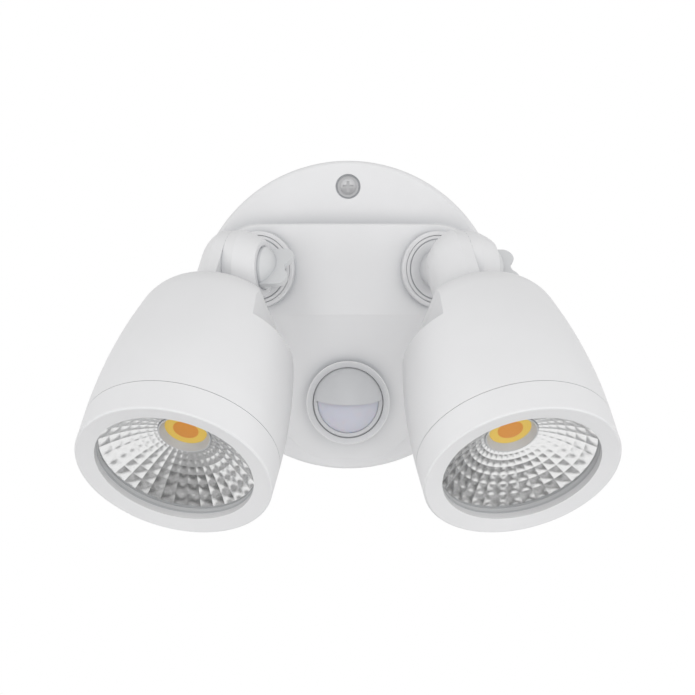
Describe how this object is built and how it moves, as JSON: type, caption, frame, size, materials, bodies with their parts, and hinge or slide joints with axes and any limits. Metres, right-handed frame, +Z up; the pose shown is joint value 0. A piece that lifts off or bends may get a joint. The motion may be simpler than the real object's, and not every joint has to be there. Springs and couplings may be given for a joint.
{
  "type": "motion sensor security light",
  "caption": "Wall-mounted security light: swivelling bullet lamp heads with wing knobs over a round base with an eyeball motion sensor.",
  "frame": {"origin": "centre of the round base on the wall plane", "axes": "+Z up along the wall, the light faces -Y, +X to the viewer's right; the wall is the plane y = 0"},
  "size_m": [0.281, 0.1931, 0.1998],
  "materials": {
    "white_paint": "satin white powder coat on die-cast aluminium",
    "white_paint_knob": "satin white powder coat",
    "white_plastic": "satin white",
    "rubber": "matte",
    "zinc_steel": "zinc plated",
    "stainless": "bright stainless",
    "grey_plastic": "matte",
    "circuit_board": "solder mask",
    "core": "varnished",
    "capacitor": "sleeved",
    "detector_can": "plated",
    "lens_plastic": "milky",
    "glass": "clear",
    "reflector": "vacuum-metallised facets",
    "led_yellow": "phosphor",
    "bare_aluminium": "milled"
  },
  "bodies": {
    "base": {"base_housing": "white_paint", "wall_gasket": "rubber", "mounting_bracket": "zinc_steel", "cover_screw": "stainless", "cover_screw_washer": "stainless", "rear_cover": "grey_plastic", "rear_cover_screws": "zinc_steel", "cable_grommet": "rubber", "driver_board": "circuit_board", "driver_transformer": "core", "driver_capacitors": "capacitor", "terminal_block": "grey_plastic", "sensor_board": "circuit_board", "sensor_pivot_pins": "stainless"},
    "left_arm": {"left_swivel_arm": "white_paint", "left_swivel_nut": "zinc_steel", "left_swivel_seal": "rubber"},
    "left_head": {"left_head_housing": "white_paint", "left_pivot_stud": "stainless", "left_bezel": "white_paint", "left_lens_gasket": "rubber", "left_front_glass": "glass", "left_reflector": "reflector", "left_led_holder": "white_plastic", "left_led_chip": "led_yellow", "left_heat_plate": "bare_aluminium", "left_plate_screws": "stainless"},
    "left_knob": {"left_wing_knob": "white_paint_knob"},
    "right_arm": {"right_swivel_arm": "white_paint", "right_swivel_nut": "zinc_steel", "right_swivel_seal": "rubber"},
    "right_head": {"right_head_housing": "white_paint", "right_pivot_stud": "stainless", "right_bezel": "white_paint", "right_lens_gasket": "rubber", "right_front_glass": "glass", "right_reflector": "reflector", "right_led_holder": "white_plastic", "right_led_chip": "led_yellow", "right_heat_plate": "bare_aluminium", "right_plate_screws": "stainless"},
    "right_knob": {"right_wing_knob": "white_paint_knob"},
    "sensor": {"sensor_ball": "white_plastic", "sensor_hood": "white_plastic", "fresnel_lens": "lens_plastic", "detector_board": "circuit_board", "pir_detector": "detector_can"},
    "time_dial": {"time_dial": "grey_plastic"},
    "lux_dial": {"lux_dial": "grey_plastic"},
    "range_dial": {"range_dial": "grey_plastic"}
  },
  "joints": [
    {"name": "left_swivel", "type": "hinge", "parent": "base", "child": "left_arm", "pos_m": [-0.0482, -0.033, 0.0244], "axis": [-0.3289, -0.9444, 0], "range_deg": [-90, 10]},
    {"name": "left_tilt", "type": "hinge", "parent": "left_arm", "child": "left_head", "pos_m": [-0.06053, -0.06841, 0.0244], "axis": [0.9444, -0.3289, 0], "range_deg": [-70, 20]},
    {"name": "left_knob_turn", "type": "hinge", "parent": "left_head", "child": "left_knob", "pos_m": [-0.06053, -0.06841, 0.0244], "axis": [0.9444, -0.3289, 0], "range_deg": [0, 360]},
    {"name": "right_swivel", "type": "hinge", "parent": "base", "child": "right_arm", "pos_m": [0.0482, -0.033, 0.0244], "axis": [0.3289, -0.9444, 0], "range_deg": [-10, 90]},
    {"name": "right_tilt", "type": "hinge", "parent": "right_arm", "child": "right_head", "pos_m": [0.06053, -0.06841, 0.0244], "axis": [0.9444, 0.3289, 0], "range_deg": [-70, 20]},
    {"name": "right_knob_turn", "type": "hinge", "parent": "right_head", "child": "right_knob", "pos_m": [0.06053, -0.06841, 0.0244], "axis": [0.9444, 0.3289, 0], "range_deg": [0, 360]},
    {"name": "sensor_tilt", "type": "hinge", "parent": "base", "child": "sensor", "pos_m": [0, -0.03, -0.0483], "axis": [1, 0, 0], "range_deg": [-12, 12]},
    {"name": "time_dial_turn", "type": "hinge", "parent": "base", "child": "time_dial", "pos_m": [-0.016, -0.008, -0.08], "axis": [0, 0, -1], "range_deg": [-135, 135]},
    {"name": "lux_dial_turn", "type": "hinge", "parent": "base", "child": "lux_dial", "pos_m": [0, -0.008, -0.08], "axis": [0, 0, -1], "range_deg": [-135, 135]},
    {"name": "range_dial_turn", "type": "hinge", "parent": "base", "child": "range_dial", "pos_m": [0.016, -0.008, -0.08], "axis": [0, 0, -1], "range_deg": [-135, 135]}
  ]
}
